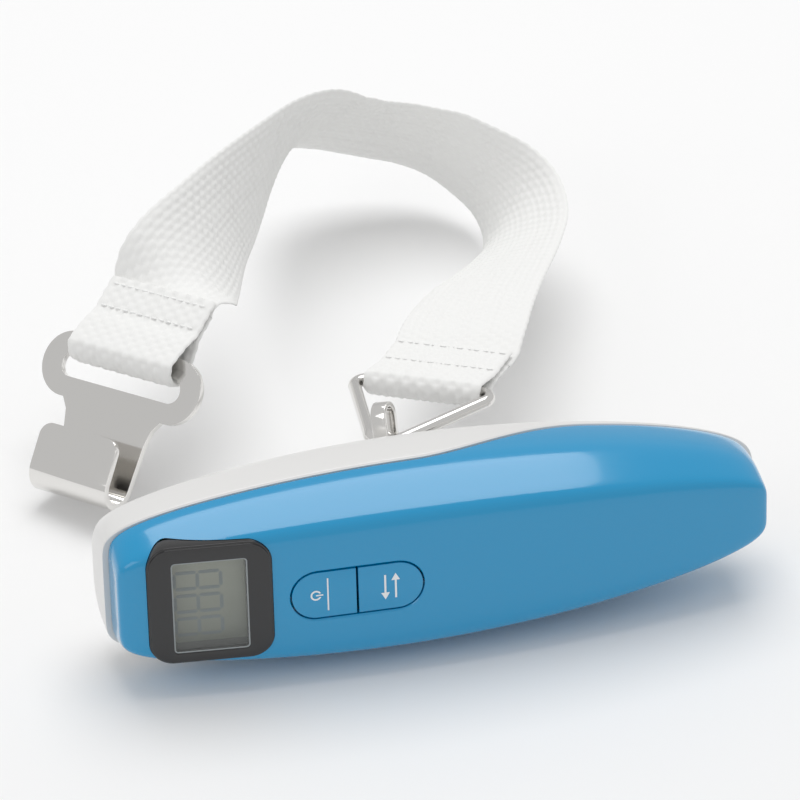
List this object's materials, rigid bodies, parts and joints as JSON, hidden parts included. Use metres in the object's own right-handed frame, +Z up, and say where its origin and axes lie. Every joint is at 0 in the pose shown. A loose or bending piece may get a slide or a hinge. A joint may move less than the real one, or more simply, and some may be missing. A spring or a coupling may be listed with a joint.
{
  "type": "digital luggage scale",
  "caption": "Hand-held digital luggage scale with a two-tone case, display, two keys, a pull eye, a wire ring, a webbing strap and a plate hook.",
  "frame": {"origin": "a point on the flat that the case lies on, on the long side of the rear cover, beside the seam and not at the middle of the flat", "axes": "+X along the case from the display end to the plain end, +Y away from the display towards the strap, +Z up"},
  "size_m": [0.1441, 0.1823, 0.0507],
  "materials": {
    "cover_front": "gloss",
    "cover_rear": "satin",
    "bezel": "gloss",
    "window": "clear",
    "lcd": "satin",
    "moulding": "matt",
    "elastomer": "matt",
    "board": "satin",
    "chip": "matt",
    "screw": "satin",
    "mark": "matt",
    "plunger": "matt",
    "switch": "matt",
    "beam": "machined",
    "gauge": "matt",
    "steel": "satin",
    "nickel": "polished",
    "webbing": "woven",
    "thread": "twisted",
    "cell": "satin",
    "contact": "satin",
    "red_wire": "satin",
    "black_wire": "satin"
  },
  "bodies": {
    "case": {"front_cover": "cover_front", "rear_cover": "cover_rear", "display_bezel": "bezel", "display_window": "window", "lcd_panel": "lcd", "lcd_holder": "moulding", "zebra_strips": "elastomer", "display_board": "board", "controller_chip": "chip", "holder_screws": "screw", "tact_switches": "switch", "key_board": "board", "key_board_screws": "screw", "load_beam": "beam", "strain_gauges": "gauge", "beam_spacer": "steel", "beam_screws": "screw", "pull_lug": "steel", "lug_screws": "screw", "link_pin": "screw", "battery_cell": "cell", "battery_clip": "contact", "battery_spring": "contact", "housing_screws": "screw", "load_cell_wires": "red_wire", "battery_wires": "black_wire"},
    "power_button": {"power_key": "cover_front", "power_key_icons": "mark", "power_plunger": "plunger"},
    "unit_button": {"unit_key": "cover_front", "unit_key_icon": "mark", "unit_plunger": "plunger"},
    "eye": {"pull_eye": "nickel"},
    "ring": {"triangle_ring": "nickel"},
    "strap_body": {"strap": "webbing", "strap_stitching": "thread"},
    "hook": {"hook_plate": "nickel"},
    "door": {"battery_door": "cover_rear"}
  },
  "joints": [
    {"name": "power_key_press", "type": "slide", "parent": "case", "child": "power_button", "axis": [0.05, 0.9963, -0.0697], "range_m": [0, 0.0005], "stiffness_N_per_m": 600, "springref_m": -0.0005},
    {"name": "unit_key_press", "type": "slide", "parent": "case", "child": "unit_button", "axis": [0.05, 0.9963, -0.0697], "range_m": [0, 0.0005], "stiffness_N_per_m": 600, "springref_m": -0.0005},
    {"name": "eye_tilt", "type": "hinge", "parent": "case", "child": "eye", "pos_m": [-0.0048, 0.01596, 0.01953], "axis": [1, 0, 0], "range_deg": [-60, 2]},
    {"name": "ring_swing", "type": "hinge", "parent": "eye", "child": "ring", "pos_m": [-0.0056, 0.0227, 0.03153], "axis": [0.7943, -0.5985, 0.1045], "range_deg": [-10, 40]},
    {"name": "strap_swing", "type": "hinge", "parent": "ring", "child": "strap_body", "pos_m": [0.0089, 0.0418, 0.0307], "axis": [0.7943, -0.5985, 0.1045], "range_deg": [-15, 25]},
    {"name": "hook_swing", "type": "hinge", "parent": "strap_body", "child": "hook", "pos_m": [-0.04853, 0.07427, 0.02808], "axis": [0.6393, -0.7618, 0.1045], "range_deg": [-25, 25]},
    {"name": "battery_door_lift", "type": "slide", "parent": "case", "child": "door", "axis": [0, 0.9976, -0.0698], "range_m": [0, 0.006]}
  ]
}
